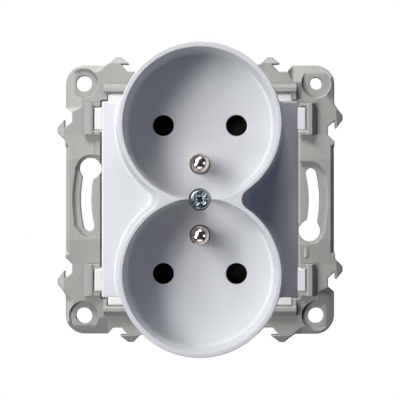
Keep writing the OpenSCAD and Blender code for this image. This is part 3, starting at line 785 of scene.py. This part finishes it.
def terminal_field(x, y, z):
    """Terminal screw about z, its head's underside at z = 0 and the head towards +z."""
    r = np.hypot(x, y)
    head = smax(r - HEAD_R, span(z, 0, HEAD_T), 0.5)
    # A slot right across the head, and a cross whose arms narrow downwards
    slot = np.maximum(np.abs(y) - TERMINAL_SLOT, 1.5 - z)
    arms = np.minimum(np.abs(x), np.abs(y)) - 0.38 * (z - 0.6)
    arms = np.maximum(np.maximum(arms, r - TERMINAL_CROSS), 0.8 - z)
    head = cut(head, np.minimum(slot, arms), 0.12)
    shank = r - thread_radius(x, y, z, TERMINAL_R, TERMINAL_PITCH, 0.33, -7.5, -0.6)
    shank = smax(shank * 0.85, span(z, -TERMINAL_LEN, 0.5), 0.3)
    return smin(head, shank, 0.15)


def centre_field(x, y, z):
    """Centre screw in the maker's axes, with a combined slot and cross."""
    r = np.hypot(x, y)
    dome = FLOOR_Z - CENTRE_DOME * r * r
    head = smax(r - CENTRE_HEAD_R, np.maximum((z - dome) * 0.95, CENTRE_UNDER - z), 0.35)
    c, s = math.cos(SLOT_TURN), math.sin(SLOT_TURN)
    a, b = np.abs(x * c + y * s), np.abs(y * c - x * s)
    depth = FLOOR_Z - z
    slot = smax(b - CENTRE_SLOT, depth - 0.7, 0.15)
    arms = np.maximum(np.minimum(a, b) - 0.42 + 0.12 * depth, np.maximum(a, b) - 1.75 + 0.9 * depth)
    heart = a + b - 1.5 + 0.5 * depth
    head = cut(head, np.minimum(slot, smax(smin(arms, heart, 0.3), depth - 1.1, 0.15)), 0.15)
    shank = r - thread_radius(x, y, z, CENTRE_R, CENTRE_PITCH, 0.27, SCREW_END_Z + 0.3, 4)
    shank = smax(shank * 0.85, span(z, SCREW_END_Z, 9.6), 0.25)
    return smin(head, shank, 0.1)


def contact_field(x, y, z):
    """Spring sleeve on the neutral side, upper bowl, with a flared mouth, slits and its lug."""
    cx, cy = x - PIN_X, y - BOWL_Y
    r = np.hypot(cx, cy)
    pinch = 0.18 * np.exp(-((z + 1.5) / 2.2) ** 2)
    mid = SLEEVE_R + 0.5 * ramp(z, SLEEVE_TOP - 1.2, SLEEVE_TOP) - pinch
    sleeve = smax(np.abs(r - mid) - SLEEVE_HALF_WALL, span(z, SLEEVE_BACK, SLEEVE_TOP), 0.15)
    lug = block(x, y, z, (PIN_X + 2.5, BOWL_Y - 2.2, SLEEVE_BACK),
                (PIN_X + 2.93, BOWL_Y + 2.2, -7.8), 0.15)
    body = smin(sleeve, lug, 0.3)
    slit = np.maximum(np.minimum(np.abs(cx), np.abs(cy) + 9 * (cx > 0)) - 0.4, -7 - z)
    body = cut(body, slit, 0.12)
    rivet = np.maximum(np.hypot(cy, z + 10.2) - 1.0, -cx)
    return cut(body, rivet, 0.1)


# Earth pin from its riveted head, through the strap and its collar, to the domed tip
EARTH_PROFILE = [(0, -1.9), (1.6, -1.9), (2.1, -1.65), (2.2, -1.3), (2.2, -1.2), (1.5, -1.2),
                 (1.5, 0), (2.3, 0), (2.5, 0.15), (2.5, 8.2), (2.4, 8.35)]
DOME_Z = PIN_TIP_Z - EARTH_R
EARTH_PROFILE += [(EARTH_R, h) for h in (12, 18, DOME_Z - 0.4, DOME_Z)]
EARTH_PROFILE += [(EARTH_R * math.cos(a), DOME_Z + EARTH_R * math.sin(a))
                  for a in (math.pi / 2 * i / 20 for i in range(1, 20))] + [(0, PIN_TIP_Z)]


def mirrored(source, name, flip_x=False, flip_z=False):
    """Copy of a piece mirrored across the middle in the row frame."""
    mesh = source.data.copy()
    normals = np.array([n.vector for n in mesh.corner_normals])
    flip = Vector((-1 if flip_x else 1, 1, -1 if flip_z else 1))
    for v in mesh.vertices:
        v.co = v.co * flip
    order, start = [], 0
    for f in mesh.polygons:
        order += list(range(start + f.loop_total - 1, start - 1, -1))
        start += f.loop_total
    if flip_x != flip_z:
        mesh.flip_normals()
        normals = normals[order]
    mesh.normals_split_custom_set([tuple(n) for n in normals * np.array(flip)])
    ob = bpy.data.objects.new(name, mesh)
    bpy.context.scene.collection.objects.link(ob)
    return ob


# ---------------------------------------------------------------- make the pieces

FINE, MEDIUM = 0.22, 0.3
SCREW_STEP, TERMINAL_STEP, CONTACT_STEP = 0.09, 0.12, 0.14
frame_piece = dress(field_mesh("frame_moulding", frame_field, (-HOOK_EDGE, -HOOK_EDGE, 0),
                               (HOOK_EDGE, HOOK_EDGE, CLIP_TOP), FINE),
                    "frame_plastic", "housing", "mounting_frame")
tab_piece = dress(field_mesh("cover_tabs", tab_field, (-TAB_OUT, -TAB_OUT, TAB_Z),
                             (TAB_OUT, TAB_OUT, PLATE_Z), FINE),
                  "cover_plastic", "housing", "socket_cover")
# The tabs get a whiter copy of the cover's plastic, painted light that makes them look more
# brightly lit than the rest of the cover
tab_piece.data.materials[0] = MATERIALS["tab_plastic_painted_bright"]
dress(field_mesh("cover_moulding", cover_field, (-PLATE, cover_lo[1], TAB_Z),
                 (PLATE, cover_hi[1], RIM_Z), FINE),
      "cover_plastic", "housing", "socket_cover", "bowl_floors")
dress(field_mesh("base_moulding", base_field, (-BASE_HALF, -BASE_HALF, BASE_BACK),
                 (BASE_HALF, BASE_HALF, BASE_TOP), MEDIUM),
      "base_plastic", "housing", "contact_base")

shiny_pieces = []
for side, at in (("upper", 1), ("lower", -1)):
    pin = spun(f"{side}_earth_pin_turned", EARTH_PROFILE,
               place=along_axis((0, at * EARTH_Y, 0), (0, 0, 1), (1, 0, 0)))
    pin.data.set_sharp_from_angle(angle=math.radians(50))
    shiny_pieces.append(dress(pin, "nickel", "housing", f"{side}_earth_pin"))
screw = field_mesh("centre_screw_driven", centre_field, (-SCREW_BOX, -SCREW_BOX, SCREW_END_Z),
                   (SCREW_BOX, SCREW_BOX, FLOOR_Z), SCREW_STEP)
shiny_pieces.append(dress(screw, "zinc", "centre_screw", "centre_screw"))


def terminal_screw(name, origin, axis, side):
    """Terminal screw with its head's underside at origin."""
    return field_mesh(name, terminal_field, (-HEAD_R, -HEAD_R, -TERMINAL_LEN),
                      (HEAD_R, HEAD_R, HEAD_T), TERMINAL_STEP, along_axis(origin, axis, side))


screw = terminal_screw("neutral_terminal_screw_cut", (SIDE_HEAD_AT, 0, TERMINAL_Z), (1, 0, 0),
                       (0, 1, 0))
dress(mirrored(screw, "live_terminal_screw_cut", flip_x=True), "zinc", "live_screw",
      "live_terminal_screw")
dress(screw, "zinc", "neutral_screw", "neutral_terminal_screw")
dress(terminal_screw("earth_terminal_screw_cut", (0, TOP_HEAD_AT, TERMINAL_Z), (0, 1, 0),
                     (1, 0, 0)), "zinc", "earth_screw", "earth_terminal_screw")

contact = field_mesh("neutral_upper_contact_formed", contact_field,
                     (PIN_X - 3.5, BOWL_Y - 3.4, SLEEVE_BACK),
                     (PIN_X + 3.3, BOWL_Y + 3.4, SLEEVE_TOP), CONTACT_STEP)
for name, to_left, to_bottom in (("live_upper", True, False), ("neutral_lower", False, True),
                                 ("live_lower", True, True)):
    dress(mirrored(contact, f"{name}_contact_formed", to_left, to_bottom), "brass", "housing",
          f"{name}_contact")
dress(contact, "brass", "housing", "neutral_upper_contact")

# Coil springs of the shutters, with closed ends
turn = np.linspace(0, SPRING_TURNS, 24 * SPRING_TURNS + 1)
rise = np.clip((turn - 0.75) / (SPRING_TURNS - 1.5), 0, 1)
height = SPRING_LOW + SPRING_WIRE + (SPRING_HIGH - SPRING_LOW - 2 * SPRING_WIRE) * rise
angle = 2 * math.pi * turn
for side, at in (("upper", 1), ("lower", -1)):
    for hand, sx in (("left", -1), ("right", 1)):
        path = np.stack([sx * SPRING_X + SPRING_R * np.cos(angle), at * height,
                         SPRING_Z + SPRING_R * np.sin(angle)], 1)
        coil = tube(f"{side}_spring_{hand}", path, SPRING_WIRE, 10)
        dress(coil, "spring_steel", "housing", f"{side}_shutter_springs")
        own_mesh(coil)

# Pieces whose CAD shape is right get rounded edges and their surface
REFINED = [("contact_cover", "base_plastic", "housing", 0.2),
           ("upper_shutter", "shutter_plastic", "upper_shutter", 0.15),
           ("lower_shutter", "shutter_plastic", "lower_shutter", 0.15),
           ("earth_strap", "brass", "housing", 0.15), ("centre_nut", "brass", "housing", 0.25),
           ("earth_clamp_plate", "nickel", "earth_clamp", 0.2)]
for side in ("live", "neutral"):
    REFINED += [(f"{side}_busbar", "brass", "housing", 0.15),
                (f"{side}_rivets", "nickel", "housing", 0.2),
                (f"{side}_clamp_plate", "nickel", f"{side}_clamp", 0.2)]
for node, slot, body, bevel in REFINED:
    dress(refined(f"{node}_finished", node, bevel), slot, body, node)


# ---------------------------------------------------------------- stage, light and camera

FLOOR_HALF, FLOOR_AT = 0.9, -0.25
floor = new_object("floor", [(x * FLOOR_HALF, y * FLOOR_HALF, FLOOR_AT)
                             for x, y in ((-1, -1), (1, -1), (1, 1), (-1, 1))], [(0, 1, 2, 3)])
floor_paint = bpy.data.materials.new("floor_paint")
floor_paint.use_nodes = True
paint = floor_paint.node_tree.nodes["Principled BSDF"].inputs
paint["Base Color"].default_value = (0.86, 0.86, 0.87, 1)
paint["Roughness"].default_value = 0.9
floor.data.materials.append(floor_paint)
# The floor throws no light on the object and isn't mirrored in it
floor.visible_diffuse = floor.visible_glossy = False

# Seen directly the world is a plain white backdrop; as a light it is a dim blue sky
world = bpy.data.worlds.new("studio")
bpy.context.scene.world = world
world.use_nodes = True
tree = world.node_tree
sky = tree.nodes["Background"]
sky.inputs["Color"].default_value = (0.52, 0.66, 1.0, 1)
sky.inputs["Strength"].default_value = 0.046
white = tree.nodes.new("ShaderNodeBackground")
white.inputs["Color"].default_value = (1, 1, 1, 1)
white.inputs["Strength"].default_value = 1.0
seen = tree.nodes.new("ShaderNodeLightPath")
choose = tree.nodes.new("ShaderNodeMixShader")
tree.links.new(seen.outputs["Is Camera Ray"], choose.inputs["Fac"])
tree.links.new(sky.outputs["Background"], choose.inputs[1])
tree.links.new(white.outputs["Background"], choose.inputs[2])
tree.links.new(choose.outputs["Shader"], tree.nodes["World Output"].inputs["Surface"])


def pieces_group(name, pieces, state):
    """Collection for light linking that includes or leaves out the given pieces."""
    group = bpy.data.collections.new(name)
    for ob in pieces:
        group.objects.link(ob)
    for item in group.collection_objects:
        item.light_linking.link_state = state
    return group


LIGHT_FAR = 0.8
WARM, COOL = (1.0, 0.99, 0.975), (0.95, 0.97, 1.0)
BLUE, PALE_BLUE = (0.72, 0.8, 1.0), (0.8, 0.87, 1.0)


def softbox(name, azimuth, elevation, width, height, power, colour=WARM):
    """Area light aimed at the object's middle. Azimuth turns in the wall's plane from +X towards
    +Z, and elevation rises from that plane towards the viewer."""
    a, e = math.radians(azimuth), math.radians(elevation)
    data = bpy.data.lights.new(name, "AREA")
    data.shape, data.size, data.size_y = "RECTANGLE", width, height
    data.energy, data.color = power, colour
    ob = bpy.data.objects.new(name, data)
    bpy.context.scene.collection.objects.link(ob)
    ob.location = Vector((math.cos(e) * math.cos(a), -math.sin(e), math.cos(e) * math.sin(a)))
    ob.location *= LIGHT_FAR
    ob.rotation_euler = (-ob.location).to_track_quat("-Z", "Y").to_euler()
    return ob


# The cover and the parts round it are lit apart from each other, so that the bowls throw no long
# shadows over the frame. Each row: name, azimuth, elevation, width, height, power, colour.
COVER_LIGHTS = [("key", 158, 50, 0.26, 0.40, 3.8), ("side", 199, 35, 0.26, 0.32, 2.1),
                ("upper_left", 130, 35, 0.26, 0.34, 1.4), ("top", 90, 24, 0.26, 0.30, 2.4),
                ("right", 0, 30, 0.30, 0.40, 0.42, BLUE),
                ("low", 265, 32, 0.40, 0.30, 0.5, PALE_BLUE)]
FRAME_LIGHTS = [("outer_top", 111, 25, 0.56, 0.24, 6.1), ("outer_left", 190, 46, 0.30, 0.34, 3.3)]
REAR_LIGHTS = [("rear_fill", -44, -38, 0.6, 0.5, 7.0, COOL),
               ("rear_top", 120, -30, 0.6, 0.5, 6.0, COOL)]
# Glints on the screw and the pins, which would otherwise mirror an empty room
GLINTS = [("glint_left", 128, 40, 0.40, 0.30, 1.5), ("glint_right", 0, 40, 0.3, 0.16, 0.4),
          ("glint_low", -90, 30, 0.8, 0.3, 1.0)]

outer_pieces = [frame_piece, tab_piece]
all_but_outer = pieces_group("all_but_outer", outer_pieces, "EXCLUDE")
only_outer = pieces_group("only_outer", outer_pieces, "INCLUDE")
only_metal = pieces_group("only_metal", shiny_pieces, "INCLUDE")
only_floor = pieces_group("only_floor", [floor], "INCLUDE")
for row in COVER_LIGHTS:
    softbox(*row).light_linking.receiver_collection = all_but_outer
for row in FRAME_LIGHTS:
    light = softbox(*row)
    light.light_linking.receiver_collection = only_outer
    light.light_linking.blocker_collection = only_outer
for row in REAR_LIGHTS:
    softbox(*row)
wash = softbox("floor_wash", 90, 0, 2.0, 2.0, 24, (1, 1, 1))
wash.light_linking.receiver_collection = only_floor
for row in GLINTS:
    softbox(*row).light_linking.receiver_collection = only_metal

camera = bpy.data.objects.new("camera", bpy.data.cameras.new("camera"))
bpy.context.scene.collection.objects.link(camera)
bpy.context.scene.camera = camera
camera.data.sensor_width = 36
camera.data.lens = 179.7
camera.data.shift_y = -0.0012
camera.data.clip_start, camera.data.clip_end = 0.01, 20
camera.location = (0.0015, -0.528, 0)
aim = Vector((0, -0.005, 0))
camera.rotation_euler = (aim - camera.location).to_track_quat("-Z", "Y").to_euler()
bpy.context.scene.view_settings.view_transform = "Standard"
